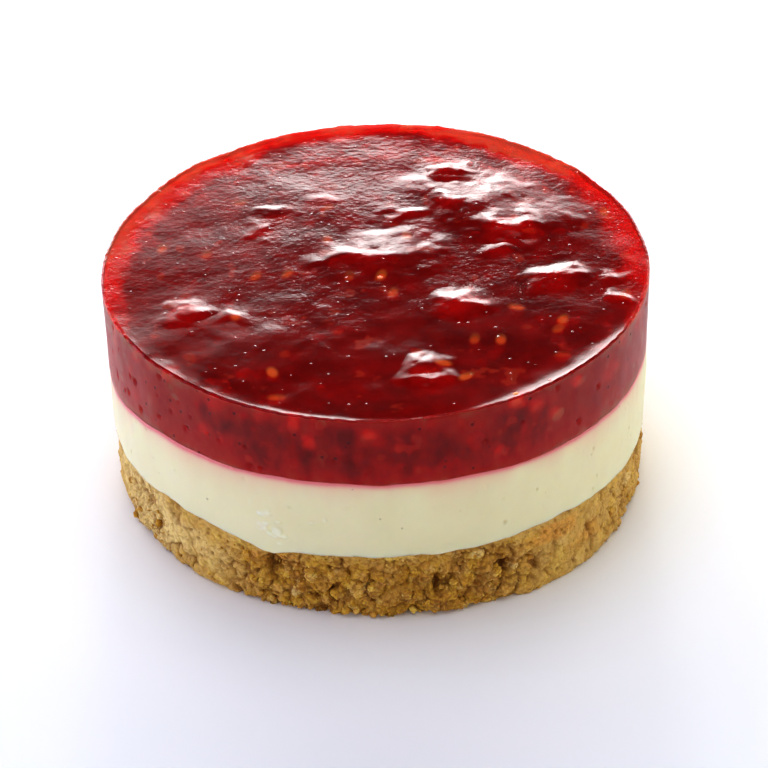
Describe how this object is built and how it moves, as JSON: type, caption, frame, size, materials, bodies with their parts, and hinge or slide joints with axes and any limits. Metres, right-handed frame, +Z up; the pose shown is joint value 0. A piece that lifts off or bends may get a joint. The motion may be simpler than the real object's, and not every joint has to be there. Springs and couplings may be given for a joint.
{
  "type": "mini cheesecake",
  "caption": "Round single-portion cheesecake: pressed biscuit crumb base, set cream cheese layer and a glossy raspberry jelly top with fruit and seeds in it.",
  "frame": {"origin": "centre of the flat underside of the biscuit base", "axes": "+Z up through the middle of the cake; the side shown to the viewer, its front, faces -Y"},
  "size_m": [0.08, 0.0799, 0.0353],
  "materials": {
    "biscuit": "dry to buttery pressed biscuit crumbs, rough, with yellow and orange-brown bits",
    "cream": "smooth set cream cheese, satin, slightly translucent, with a pink bleed at its top edge",
    "jelly": "wet, glossy, translucent deep red raspberry jelly, with seeds and pieces of fruit sunk in it"
  },
  "bodies": {
    "root": {"biscuit_base": "biscuit", "cream_layer": "cream", "raspberry_jelly": "jelly"}
  },
  "joints": []
}
